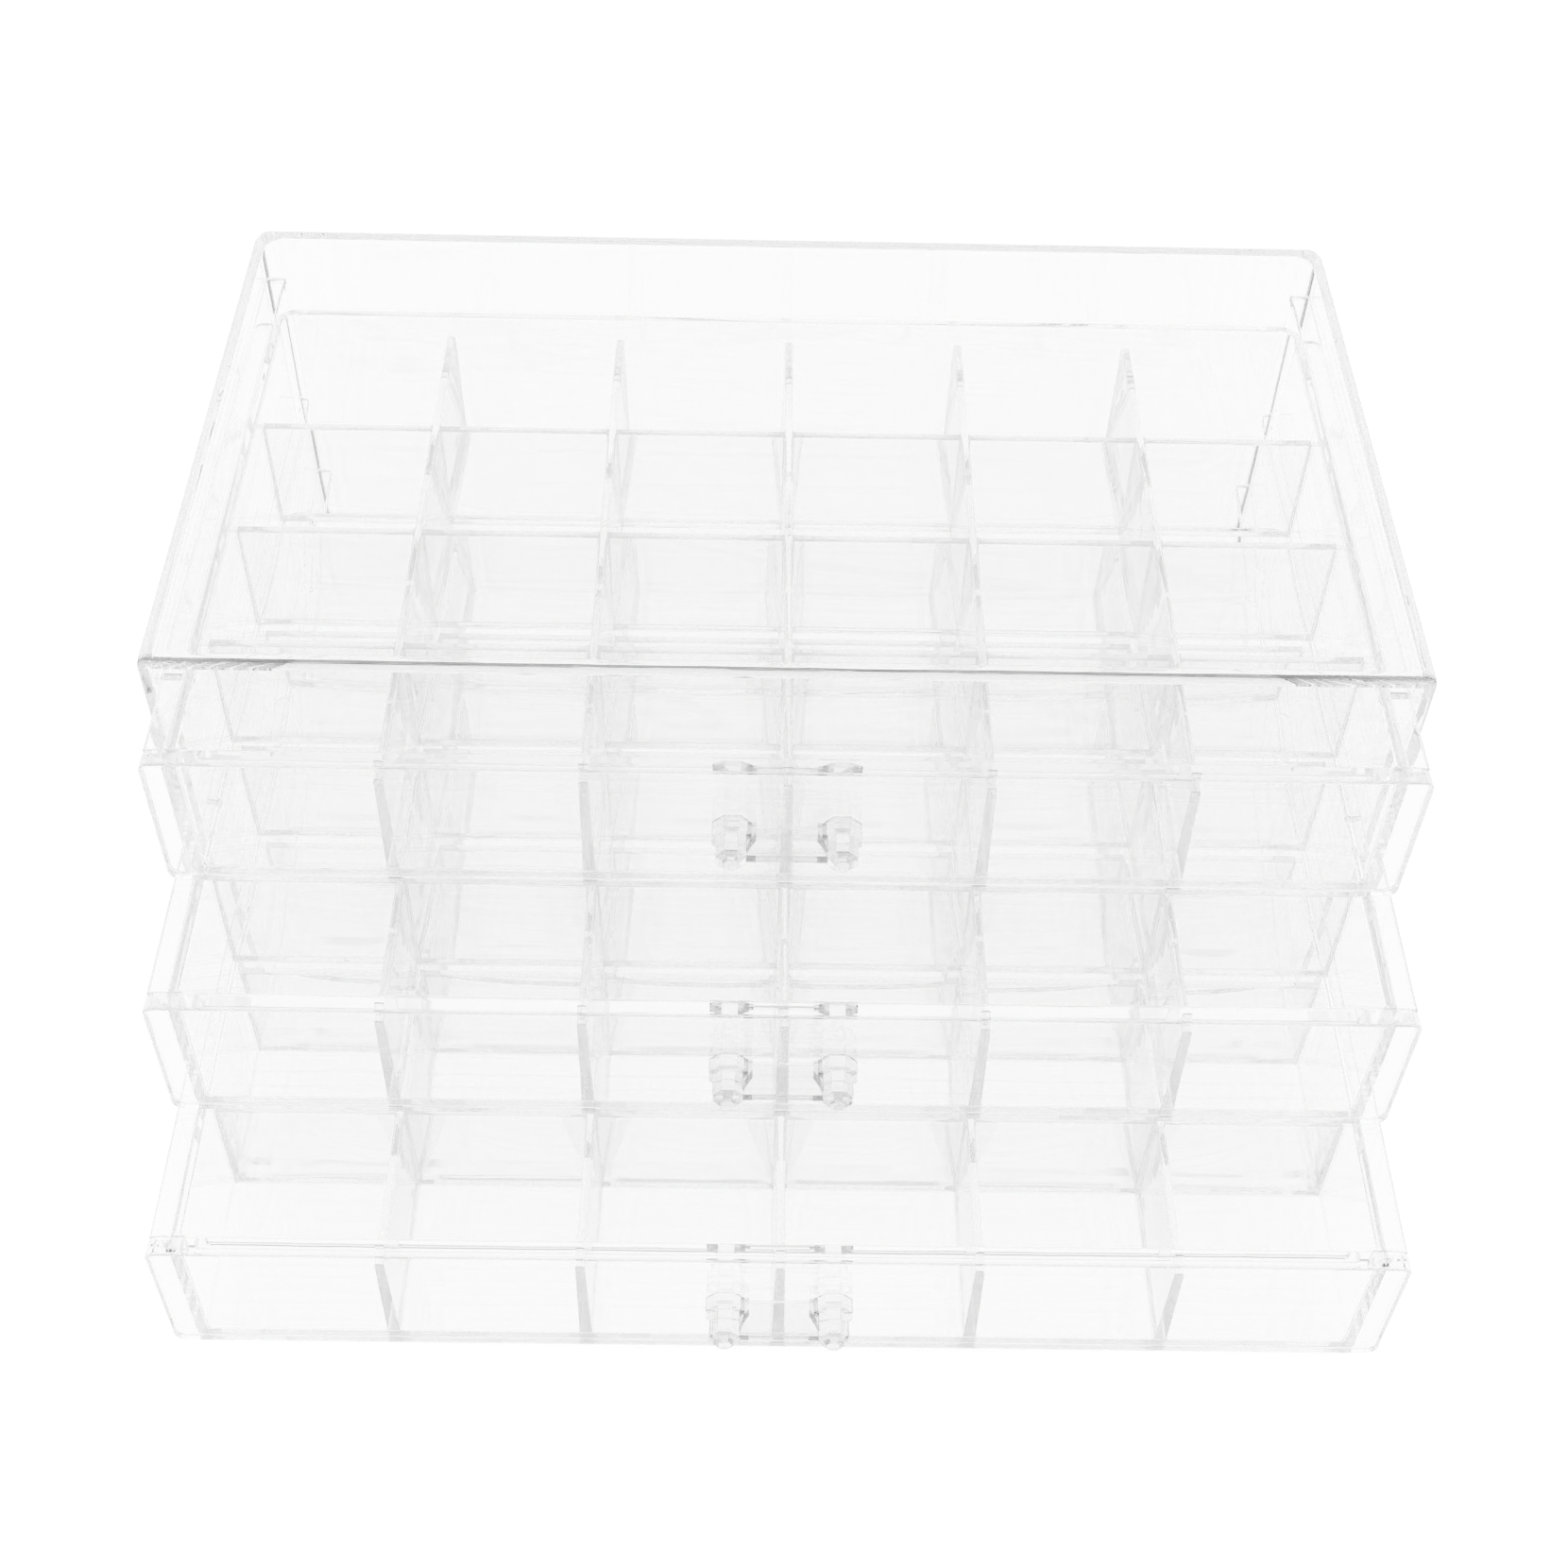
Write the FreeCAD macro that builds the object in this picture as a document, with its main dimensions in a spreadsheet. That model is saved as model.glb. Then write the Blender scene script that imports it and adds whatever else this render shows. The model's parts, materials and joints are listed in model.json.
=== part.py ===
"""Clear organizer box with three pull-out drawers, each split into 24 cells.

Frame: millimetres, +Z up, +X to the right, the open front towards -Y. The origin is the centre
of the case's underside. Each drawer is drawn as if closed, and its Placement pulls it forward.
"""
import FreeCAD, Part
import os
import Sketcher

DOC = FreeCAD.newDocument("OrganizerDrawers")
SIZES = DOC.addObject("Spreadsheet::Sheet", "Sizes")

# ---------------------------------------------------------------- driving dimensions
DIMENSIONS = {
    "Case": (
        ("case_width", 235.0, "outside, left to right"),
        ("case_depth", 134.5, "outside, front edge to back face"),
        ("case_height", 108.0, "outside, underside to top"),
        ("side_wall", 2.2, "side wall thickness"),
        ("back_wall", 2.2, "back wall thickness"),
        ("top_plate", 2.5, "top thickness"),
        ("base_plate", 2.5, "floor plate thickness"),
        ("rear_corner_radius", 4.0, "outer upright corners at the back"),
        ("cavity_corner_radius", 5.0, "inner upright corners at the back"),
        ("shell_edge_radius", 2.0, "rounding round the top's outline"),
        ("lip_radius", 0.6, "rounding of the side walls' front edges"),
    ),
    "Rails": (
        ("rail_width", 4.2, "reach of a rail from the side wall"),
        ("rail_thickness", 2.0, "height of a rail"),
        ("rail_setback", 4.5, "case front to a rail's front end"),
        ("rail_lead_in", 1.2, "slope at the rail's front end"),
        ("rail_nose_radius", 0.5, "rounding of the rail's inner top edge"),
    ),
    "Fits": (
        ("panel_side_gap", 0.3, "front panel to side wall"),
        ("panel_foot_gap", 0.5, "lowest panel to floor plate"),
        ("panel_gap", 0.6, "panel to panel, closed"),
        ("head_gap", 4.7, "top panel to the underside of the top"),
        ("flange_side_gap", 0.9, "flange edge to side wall"),
        ("tray_side_gap", 0.5, "tray wall to the rail's inner edge"),
        ("rail_running_gap", 0.3, "flange underside to rail top"),
        ("tray_back_gap", 0.5, "tray to back wall, closed"),
        ("lap_clearance", 0.1, "each side of a divider in its slot"),
    ),
    "Drawers": (
        ("panel_thickness", 4.0, "front panel, front to back"),
        ("panel_corner_radius", 2.5, "the panel's four corners"),
        ("panel_edge_radius", 0.6, "rounding round the panel's front face"),
        ("tray_wall", 1.8, "tray side and back walls"),
        ("tray_floor", 1.8, "tray floor thickness"),
        ("tray_lift", 0.2, "tray underside above the panel's lower edge"),
        ("tray_corner_radius", 5.0, "outer upright corners at the tray's back"),
        ("tray_foot_radius", 1.0, "rounding under the tray's outer edges"),
        ("flange_thickness", 1.8, "sliding flange, flush with the panel's top"),
        ("flange_tail_radius", 2.0, "rounding of the flange's rear corner"),
        ("tray_rim_bevel", 0.3, "bevel of the tray's rim and the flange's upper edge"),
    ),
    "Dividers": (
        ("columns", 6, "cells across a drawer"),
        ("rows", 4, "cells from front to back"),
        ("divider_top", 1.7, "thickness at a divider's top edge"),
        ("divider_foot", 2.3, "thickness at the floor"),
        ("divider_drop", 5.2, "panel top down to the dividers' tops"),
        ("divider_top_bevel", 0.3, "bevel along a divider's top edges"),
    ),
    "Handles": (
        ("handle_drop", 15.0, "panel top down to the posts' axes"),
        ("post_spacing", 20.0, "post to post, centre to centre"),
        ("collar_across", 7.2, "collar, flat to flat"),
        ("collar_length", 3.0, "panel face to the collar's shoulder"),
        ("post_across", 5.6, "post, flat to flat"),
        ("post_length", 8.8, "panel face to a post's end"),
        ("post_tip_chamfer", 1.4, "slope round a post's end"),
        ("web_thickness", 1.8, "height of the web between the posts"),
        ("web_setback", 0.2, "web's front edge behind the slopes of the posts' ends"),
        ("flare_height", 3.4, "height of the flare between web and post"),
        ("flare_foot", 4.4, "post axis to the flare's foot at the collar"),
        ("flare_start", 2.2, "panel face to the flare's widest point"),
        ("flare_end", 6.2, "panel face to where the flare meets the post"),
    ),
    "Rest pose": (
        ("top_opening", 19.0, "top drawer, out from closed"),
        ("middle_opening", 48.0, "middle drawer, out from closed"),
        ("bottom_opening", 78.5, "bottom drawer, out from closed"),
    ),
}

# Drawers from the lowest up: name, and how many pitches it stands above the lowest.
DRAWERS = (("bottom", 0), ("middle", 1), ("top", 2))
LEFT, RIGHT = -1, 1
SIDES = (("left", LEFT), ("right", RIGHT))


def fill_sheet():
    """Writes every driving dimension to the sheet, one row each, with its alias and its note."""
    row = 1
    for group, entries in DIMENSIONS.items():
        SIZES.set(f"A{row}", group)
        row += 1
        for alias, size, note in entries:
            SIZES.set(f"A{row}", note)
            SIZES.set(f"B{row}", str(size))
            SIZES.setAlias(f"B{row}", alias)
            row += 1
    DOC.recompute()


# ---------------------------------------------------------------- sizes that follow from them
FRONT = "(-Sizes.case_depth / 2)"
BACK = "(Sizes.case_depth / 2)"
HALF_WIDTH = "(Sizes.case_width / 2)"
CAVITY_HALF = f"({HALF_WIDTH} - Sizes.side_wall)"
CAVITY_BACK = f"({BACK} - Sizes.back_wall)"
CAVITY_TOP = "(Sizes.case_height - Sizes.top_plate)"

DRAWER_COUNT = len(DRAWERS)
PANEL_HEIGHT = (
    f"(({CAVITY_TOP} - Sizes.head_gap - Sizes.base_plate - Sizes.panel_foot_gap"
    f" - {DRAWER_COUNT - 1} * Sizes.panel_gap) / {DRAWER_COUNT})"
)
DRAWER_PITCH = f"({PANEL_HEIGHT} + Sizes.panel_gap)"
PANEL_HALF = f"({CAVITY_HALF} - Sizes.panel_side_gap)"
PANEL_REAR = f"({FRONT} + Sizes.panel_thickness)"

TRAY_HALF = f"({CAVITY_HALF} - Sizes.rail_width - Sizes.tray_side_gap)"
TRAY_BACK = f"({CAVITY_BACK} - Sizes.tray_back_gap)"
CELLS_HALF = f"({TRAY_HALF} - Sizes.tray_wall)"
CELLS_BACK = f"({TRAY_BACK} - Sizes.tray_wall)"
CELLS_FLOOR = "(Sizes.tray_lift + Sizes.tray_floor)"
FLANGE_HALF = f"({CAVITY_HALF} - Sizes.flange_side_gap)"
FLANGE_UNDERSIDE = f"({PANEL_HEIGHT} - Sizes.flange_thickness)"
FLANGE_BACK = f"({TRAY_BACK} - Sizes.tray_corner_radius)"

DIVIDER_MIDDLE = "((Sizes.divider_top + Sizes.divider_foot) / 2)"
DIVIDER_TOP = f"({PANEL_HEIGHT} - Sizes.divider_drop)"
LAP_HEIGHT = f"(({CELLS_FLOOR} + {DIVIDER_TOP}) / 2)"
COLUMN_PITCH = f"((2 * {CELLS_HALF} + {DIVIDER_MIDDLE}) / Sizes.columns)"
ROW_PITCH = f"(({CELLS_BACK} - {PANEL_REAR} + {DIVIDER_MIDDLE}) / Sizes.rows)"
FIRST_COLUMN = f"(-{CELLS_HALF} - {DIVIDER_MIDDLE} / 2 + {COLUMN_PITCH})"
FIRST_ROW = f"({PANEL_REAR} - {DIVIDER_MIDDLE} / 2 + {ROW_PITCH})"

HANDLE_HEIGHT = f"({PANEL_HEIGHT} - Sizes.handle_drop)"
POST_X = "(Sizes.post_spacing / 2)"
WEB_FRONT = f"({FRONT} - Sizes.post_length + Sizes.post_tip_chamfer + Sizes.web_setback)"
OCTAGON_CORNER = "(sqrt(2) - 1)"
RAIL_TOP = f"({FLANGE_UNDERSIDE} - Sizes.rail_running_gap)"


def number(expression):
    """Value of an expression over the sheet."""
    return float(SIZES.evalExpression(str(expression)))


def level(pitches):
    """Height of a drawer's lower edge above the case's underside."""
    return f"(Sizes.base_plate + Sizes.panel_foot_gap + {pitches} * {DRAWER_PITCH})"


# ---------------------------------------------------------------- drawing helpers
class Piece:
    """One sub-part: a PartDesign body, and the steps that sketch, pad, cut and round it."""

    def __init__(self, label):
        self.body = DOC.addObject("PartDesign::Body", label)
        self.body.Label = label

    def place(self, opening=None, height=None):
        """Ties the body's place to the sheet: pulled forward by an opening, at a height."""
        if opening is not None:
            self.body.setExpression("Placement.Base.y", f"-{opening}")
        if height is not None:
            self.body.setExpression("Placement.Base.z", height)

    def origin(self, role):
        """The body's own origin plane or axis with this role."""
        return next(item for item in self.body.Origin.OriginFeatures if item.Role == role)

    def sketch(self, name, plane, outlines, offset="0"):
        """A sketch of closed outlines on an origin plane, moved along the plane's normal."""
        drawing = self.body.newObject("Sketcher::SketchObject", name)
        drawing.AttachmentSupport = [(self.origin(plane), "")]
        drawing.MapMode = "FlatFace"
        drawing.setExpression("AttachmentOffset.Base.z", offset)
        for outline in outlines:
            draw_outline(drawing, outline)
        DOC.recompute()
        return drawing

    def feature(self, kind, name, profile, length=None, backward=False, middle=False):
        """A pad or a pocket of a sketch; with no length it runs through everything."""
        step = self.body.newObject(f"PartDesign::{kind}", name)
        step.Profile = profile
        step.Reversed = backward
        step.Midplane = middle
        if length is None:
            step.Type = "ThroughAll"
        else:
            step.setExpression("Length", length)
        DOC.recompute()
        return step

    def pad(self, name, profile, length, backward=False, middle=False):
        return self.feature("Pad", name, profile, length, backward, middle)

    def pocket(self, name, profile, length=None, backward=False, middle=False):
        return self.feature("Pocket", name, profile, length, backward, middle)

    def dress(self, kind, name, size_property, size, chosen):
        """A fillet or a chamfer on each edge of the tip that the test chooses."""
        tip = self.body.Tip
        edges = [f"Edge{n}" for n, edge in enumerate(tip.Shape.Edges, 1) if chosen(edge)]
        if not edges:
            raise RuntimeError(f"{self.body.Label}: no edge for {name}")
        step = self.body.newObject(f"PartDesign::{kind}", name)
        step.Base = (tip, edges)
        step.setExpression(size_property, size)
        DOC.recompute()
        return step

    def fillet(self, name, radius, chosen):
        return self.dress("Fillet", name, "Radius", radius, chosen)

    def chamfer(self, name, size, chosen):
        return self.dress("Chamfer", name, "Size", size, chosen)

    def row_of(self, name, original, axis, pitch, count):
        """Repeats a feature along an origin axis, count times at the pitch."""
        pattern = self.body.newObject("PartDesign::LinearPattern", name)
        pattern.Originals = [original]
        pattern.Direction = (self.origin(axis), [""])
        pattern.setExpression("Length", f"{pitch} * ({count} - 1)")
        pattern.setExpression("Occurrences", count)
        self.body.Tip = pattern
        DOC.recompute()
        return pattern

    def mirror(self, name, originals, plane):
        """Mirrors features in an origin plane."""
        mirrored = self.body.newObject("PartDesign::Mirrored", name)
        mirrored.Originals = originals
        mirrored.MirrorPlane = (self.origin(plane), [""])
        self.body.Tip = mirrored
        DOC.recompute()
        return mirrored


def draw_outline(drawing, corners):
    """Draws one closed outline of straight runs and ties each corner to its two expressions."""
    points = [FreeCAD.Vector(number(across), number(up), 0) for across, up in corners]
    first = drawing.GeometryCount
    count = len(points)
    for index, point in enumerate(points):
        drawing.addGeometry(Part.LineSegment(point, points[(index + 1) % count]), False)
    for index in range(count):
        here, after = first + index, first + (index + 1) % count
        drawing.addConstraint(Sketcher.Constraint("Coincident", here, 2, after, 1))
    for index, (across, up) in enumerate(corners):
        for kind, expression in (("DistanceX", across), ("DistanceY", up)):
            rule = Sketcher.Constraint(kind, -1, 1, first + index, 1, number(expression))
            drawing.setExpression(f"Constraints[{drawing.addConstraint(rule)}]", str(expression))


def rectangle(left, right, low, high):
    """Corners of a rectangle, each side an expression."""
    return [(left, low), (right, low), (right, high), (left, high)]


def octagon(across, up, width):
    """Corners of a regular octagon with a flat on top, from its centre and width over flats."""
    flat = f"({width} / 2)"
    corner = f"({flat} * {OCTAGON_CORNER})"
    steps = ((flat, corner), (corner, flat), (f"-{corner}", flat), (f"-{flat}", corner),
             (f"-{flat}", f"-{corner}"), (f"-{corner}", f"-{flat}"),
             (corner, f"-{flat}"), (flat, f"-{corner}"))
    return [(f"{across} + ({x})", f"{up} + ({y})") for x, y in steps]


NEAR = 0.01


def is_at(value, expression):
    """Whether a coordinate lies at the place an expression gives."""
    return abs(value - number(expression)) < NEAR


def upright_at(edge, across, along):
    """Whether an edge stands upright at this distance from the middle plane and this depth."""
    box = edge.BoundBox
    return (box.XLength < NEAR and box.YLength < NEAR
            and is_at(abs(box.Center.x), across) and is_at(box.Center.y, along))


# ---------------------------------------------------------------- case
def make_shell():
    """Top, sides and back in one, open at the front and underneath, its outline rounded."""
    shell = Piece("case_shell")
    outside = shell.sketch("ShellPlan", "XY_Plane",
                           [rectangle(f"-{HALF_WIDTH}", HALF_WIDTH, FRONT, BACK)])
    shell.pad("ShellBlock", outside, "Sizes.case_height")
    shell.fillet("ShellRearCorners", "Sizes.rear_corner_radius",
                 lambda edge: upright_at(edge, HALF_WIDTH, BACK))
    inside = shell.sketch("CavityPlan", "XY_Plane",
                          [rectangle(f"-{CAVITY_HALF}", CAVITY_HALF,
                                     f"{FRONT} - Sizes.panel_thickness", CAVITY_BACK)])
    shell.pocket("Cavity", inside, CAVITY_TOP, backward=True)
    shell.fillet("CavityRearCorners", "Sizes.cavity_corner_radius",
                 lambda edge: upright_at(edge, CAVITY_HALF, CAVITY_BACK))
    shell.fillet("SideFrontEdges", "min(Sizes.lip_radius; Sizes.side_wall / 3)",
                 lambda edge: upright_at(edge, HALF_WIDTH, FRONT))
    shell.fillet("TopOutline", "min(Sizes.shell_edge_radius; 0.8 * Sizes.top_plate)",
                 lambda edge: is_at(edge.BoundBox.ZMin, "Sizes.case_height"))


def make_base():
    """Floor plate between the side walls, its rear corners rounded to fill the shell's."""
    base = Piece("case_base")
    plan = base.sketch("BasePlan", "XY_Plane",
                       [rectangle(f"-{CAVITY_HALF}", CAVITY_HALF, FRONT, CAVITY_BACK)])
    base.pad("BasePlate", plan, "Sizes.base_plate")
    base.fillet("BaseRearCorners", "Sizes.cavity_corner_radius",
                lambda edge: upright_at(edge, CAVITY_HALF, CAVITY_BACK))
    base.fillet("BaseFrontEdges", "min(Sizes.lip_radius; Sizes.base_plate / 3)",
                lambda edge: is_at(edge.BoundBox.YMax, FRONT) and edge.BoundBox.XLength > NEAR)


def make_rail(side, sign, name, pitches):
    """Ledge on a side wall that carries one drawer's flange, sloped at its front end."""
    rail = Piece(f"rail_{side}_{name}")
    wall = f"{sign} * {CAVITY_HALF}"
    nose = f"{sign} * ({CAVITY_HALF} - Sizes.rail_width)"
    section = rail.sketch("RailSection", "XZ_Plane",
                          [rectangle(wall, nose, f"{RAIL_TOP} - Sizes.rail_thickness", RAIL_TOP)],
                          offset=f"-({FRONT} + Sizes.rail_setback)")
    length = f"{CAVITY_BACK} - Sizes.cavity_corner_radius - ({FRONT} + Sizes.rail_setback)"
    rail.pad("RailLedge", section, length, backward=True)
    rail.chamfer("RailLeadIn", "min(Sizes.rail_lead_in; 0.7 * Sizes.rail_thickness)",
                 lambda edge: is_at(edge.BoundBox.ZMin, RAIL_TOP)
                 and is_at(edge.BoundBox.YMax, f"{FRONT} + Sizes.rail_setback"))
    rail.fillet("RailNose", "min(Sizes.rail_nose_radius; Sizes.rail_thickness / 3)",
                lambda edge: is_at(edge.BoundBox.ZMin, RAIL_TOP)
                and is_at(edge.BoundBox.Center.x, nose))
    rail.place(height=level(pitches))


# ---------------------------------------------------------------- drawers
def make_tray(name, opening, height):
    """Floor, side walls and back wall in one, open at the front, with a sliding flange."""
    tray = Piece(f"drawer_{name}_tray")
    outside = tray.sketch("TrayPlan", "XY_Plane",
                          [rectangle(f"-{TRAY_HALF}", TRAY_HALF, PANEL_REAR, TRAY_BACK)],
                          offset="Sizes.tray_lift")
    tray.pad("TrayBlock", outside, f"{PANEL_HEIGHT} - Sizes.tray_lift")
    tray.fillet("TrayRearCorners", "Sizes.tray_corner_radius",
                lambda edge: upright_at(edge, TRAY_HALF, TRAY_BACK))
    inside = tray.sketch("CellsPlan", "XY_Plane",
                         [rectangle(f"-{CELLS_HALF}", CELLS_HALF,
                                    f"{PANEL_REAR} - Sizes.panel_thickness", CELLS_BACK)],
                         offset=CELLS_FLOOR)
    tray.pocket("Hollow", inside, f"{PANEL_HEIGHT} - {CELLS_FLOOR}", backward=True)
    tray.fillet("HollowRearCorners",
                "max(Sizes.tray_corner_radius - Sizes.tray_wall; Sizes.tray_wall / 2)",
                lambda edge: upright_at(edge, CELLS_HALF, CELLS_BACK))
    tray.fillet("TrayFoot", "min(Sizes.tray_foot_radius; Sizes.tray_floor / 2)",
                lambda edge: is_at(edge.BoundBox.ZMax, "Sizes.tray_lift")
                and not is_at(edge.BoundBox.YMax, PANEL_REAR))
    flanges = [rectangle(f"{sign} * {TRAY_HALF}", f"{sign} * {FLANGE_HALF}",
                         FLANGE_UNDERSIDE, PANEL_HEIGHT) for _, sign in SIDES]
    section = tray.sketch("FlangeSection", "XZ_Plane", flanges, offset=f"-{PANEL_REAR}")
    tray.pad("Flanges", section, f"{FLANGE_BACK} - {PANEL_REAR}", backward=True)
    tray.fillet("FlangeTails", "Sizes.flange_tail_radius",
                lambda edge: upright_at(edge, FLANGE_HALF, FLANGE_BACK))
    tray.chamfer("TrayRim", "min(Sizes.tray_rim_bevel; Sizes.tray_wall / 3)",
                 lambda edge: is_at(edge.BoundBox.ZMin, PANEL_HEIGHT)
                 and not is_at(edge.BoundBox.YMax, PANEL_REAR))
    tray.place(opening, height)


def make_front(name, opening, height):
    """Thick front panel, wider than the tray, that closes the tray's front."""
    front = Piece(f"drawer_{name}_front")
    outline = front.sketch("PanelOutline", "XZ_Plane",
                           [rectangle(f"-{PANEL_HALF}", PANEL_HALF, "0", PANEL_HEIGHT)],
                           offset=f"-{PANEL_REAR}")
    front.pad("PanelPlate", outline, "Sizes.panel_thickness")
    front.fillet("PanelCorners", "Sizes.panel_corner_radius",
                 lambda edge: edge.BoundBox.XLength < NEAR and edge.BoundBox.ZLength < NEAR)
    front.fillet("PanelFrontEdge",
                 "min(Sizes.panel_edge_radius; Sizes.panel_thickness / 3)",
                 lambda edge: is_at(edge.BoundBox.YMax, FRONT))
    front.place(opening, height)


def make_handle(name, opening, height):
    """Pull moulded in one: two eight-sided posts with collars, joined by a flared web."""
    handle = Piece(f"drawer_{name}_handle")
    plan = handle.sketch("WebPlan", "XY_Plane",
                         [rectangle(f"-{POST_X}", POST_X, WEB_FRONT, FRONT)],
                         offset=HANDLE_HEIGHT)
    handle.pad("Web", plan, "Sizes.web_thickness", middle=True)
    collar = handle.sketch("CollarSection", "XZ_Plane",
                           [octagon(POST_X, HANDLE_HEIGHT, "Sizes.collar_across")],
                           offset=f"-{FRONT}")
    collar_step = handle.pad("Collar", collar, "Sizes.collar_length")
    post = handle.sketch("PostSection", "XZ_Plane",
                         [octagon(POST_X, HANDLE_HEIGHT, "Sizes.post_across")],
                         offset=f"-{FRONT}")
    post_step = handle.pad("Post", post, "Sizes.post_length")
    flare = handle.sketch("FlarePlan", "XY_Plane", [flare_outline()], offset=HANDLE_HEIGHT)
    flare_step = handle.pad("Flare", flare, "Sizes.flare_height", middle=True)
    handle.mirror("OtherPost", [collar_step, post_step, flare_step], "YZ_Plane")
    handle.chamfer("PostTips", "Sizes.post_tip_chamfer",
                   lambda edge: is_at(edge.BoundBox.YMax, f"{FRONT} - Sizes.post_length"))
    handle.place(opening, height)


def flare_outline():
    """Plan of the flare: a hollow curve from the collar's foot to the post, as short runs."""
    foot = f"({POST_X} - Sizes.flare_foot)"
    side = f"({POST_X} - Sizes.post_across / 2)"
    start = f"({FRONT} - Sizes.flare_start)"
    end = f"({FRONT} - Sizes.flare_end)"
    runs = 5
    corners = [(POST_X, FRONT), (foot, FRONT)]
    for index in range(runs + 1):
        share = index / runs
        corners.append((f"{foot} + ({side} - {foot}) * {1 - (1 - share) ** 2}",
                        f"{start} + ({end} - {start}) * {share}"))
    corners.append((POST_X, end))
    return corners


def divider_section(centre):
    """Cross-section of a divider: thicker at its foot than along its top edge."""
    return [(f"{centre} - Sizes.divider_foot / 2", CELLS_FLOOR),
            (f"{centre} + Sizes.divider_foot / 2", CELLS_FLOOR),
            (f"{centre} + Sizes.divider_top / 2", DIVIDER_TOP),
            (f"{centre} - Sizes.divider_top / 2", DIVIDER_TOP)]


def bevel_top(divider):
    """Bevels the two long edges of a divider's top before its slots are cut."""
    divider.chamfer("TopEdges", "min(Sizes.divider_top_bevel; Sizes.divider_top / 3)",
                    lambda edge: is_at(edge.BoundBox.ZMin, DIVIDER_TOP)
                    and edge.BoundBox.DiagonalLength > number("2 * Sizes.divider_top"))


def make_long_divider(name, opening, height, index):
    """Front-to-back divider, slotted from above where each cross divider drops in."""
    divider = Piece(f"drawer_{name}_divider_{index + 1}")
    centre = f"({FIRST_COLUMN} + {index} * {COLUMN_PITCH})"
    section = divider.sketch("DividerSection", "XZ_Plane", [divider_section(centre)],
                             offset=f"-{PANEL_REAR}")
    divider.pad("DividerPlate", section, f"{CELLS_BACK} - {PANEL_REAR}", backward=True)
    bevel_top(divider)
    half_slot = f"({DIVIDER_MIDDLE} / 2 + Sizes.lap_clearance)"
    slot = divider.sketch("SlotOutline", "YZ_Plane",
                          [rectangle(f"{FIRST_ROW} - {half_slot}", f"{FIRST_ROW} + {half_slot}",
                                     LAP_HEIGHT, PANEL_HEIGHT)])
    cut = divider.pocket("Slot", slot, middle=True)
    divider.row_of("Slots", cut, "Y_Axis", ROW_PITCH, "Sizes.rows - 1")
    divider.place(opening, height)


def make_cross_divider(name, opening, height, index):
    """Side-to-side divider with a tapered slot from below over each long divider."""
    divider = Piece(f"drawer_{name}_cross_{index + 1}")
    centre = f"({FIRST_ROW} + {index} * {ROW_PITCH})"
    section = divider.sketch("DividerSection", "YZ_Plane", [divider_section(centre)])
    divider.pad("DividerPlate", section, f"2 * {CELLS_HALF}", middle=True)
    bevel_top(divider)
    foot = "(Sizes.divider_foot / 2 + Sizes.lap_clearance)"
    head = f"({DIVIDER_MIDDLE} / 2 + Sizes.lap_clearance)"
    slot = divider.sketch("SlotOutline", "XZ_Plane",
                          [[(f"{FIRST_COLUMN} - {foot}", CELLS_FLOOR),
                            (f"{FIRST_COLUMN} + {foot}", CELLS_FLOOR),
                            (f"{FIRST_COLUMN} + {head}", f"{LAP_HEIGHT} + Sizes.lap_clearance"),
                            (f"{FIRST_COLUMN} - {head}", f"{LAP_HEIGHT} + Sizes.lap_clearance")]])
    cut = divider.pocket("Slot", slot, middle=True)
    divider.row_of("Slots", cut, "X_Axis", COLUMN_PITCH, "Sizes.columns - 1")
    divider.place(opening, height)


def make_drawer(name, pitches):
    """Tray, front panel, pull and divider grid of one drawer, at its opening and height."""
    opening = f"Sizes.{name}_opening"
    height = level(pitches)
    make_tray(name, opening, height)
    make_front(name, opening, height)
    make_handle(name, opening, height)
    for index in range(round(number("Sizes.columns")) - 1):
        make_long_divider(name, opening, height, index)
    for index in range(round(number("Sizes.rows")) - 1):
        make_cross_divider(name, opening, height, index)


# ---------------------------------------------------------------- checks and files
def check_document():
    """Stops if an object failed to compute or a cut removed nothing."""
    for item in DOC.Objects:
        if {"Invalid", "Error"} & set(item.State):
            raise RuntimeError(f"{item.Label}: {item.State}")
        if item.TypeId == "PartDesign::Pocket":
            if item.Shape.Volume >= item.BaseFeature.Shape.Volume:
                raise RuntimeError(f"{item.Label}: the pocket cuts nothing")


def check_body(body):
    """Stops unless a body is one valid closed solid."""
    shape = body.Shape
    if shape.isNull() or not shape.isValid() or len(shape.Solids) != 1:
        raise RuntimeError(f"{body.Label}: not one valid solid")


def write_parts():
    """Writes each body to parts/NODE.step, named by its Label."""
    bodies = [item for item in DOC.Objects if item.TypeId == "PartDesign::Body"]
    for body in bodies:
        check_body(body)
    os.makedirs("parts", exist_ok=True)
    for body in bodies:
        body.Shape.exportStep(f"parts/{body.Label}.step")
    print(f"{len(bodies)} parts written")


fill_sheet()
make_shell()
make_base()
for drawer, steps in DRAWERS:
    for side_name, side_sign in SIDES:
        make_rail(side_name, side_sign, drawer, steps)
    make_drawer(drawer, steps)
DOC.recompute()
check_document()
write_parts()
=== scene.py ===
"""Looks of a clear organizer box with three pull-out drawers of small cells.

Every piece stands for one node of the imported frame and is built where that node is. Where two
clear pieces are one moulding, one of them reaches a little way into the other, so that no film
of air is left between them and light passes as it does through one piece of plastic.
"""

import json
import logging
import math
from dataclasses import dataclass
from enum import Enum

import bmesh
import bpy
import numpy as np
from mathutils import Matrix, Vector


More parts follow.
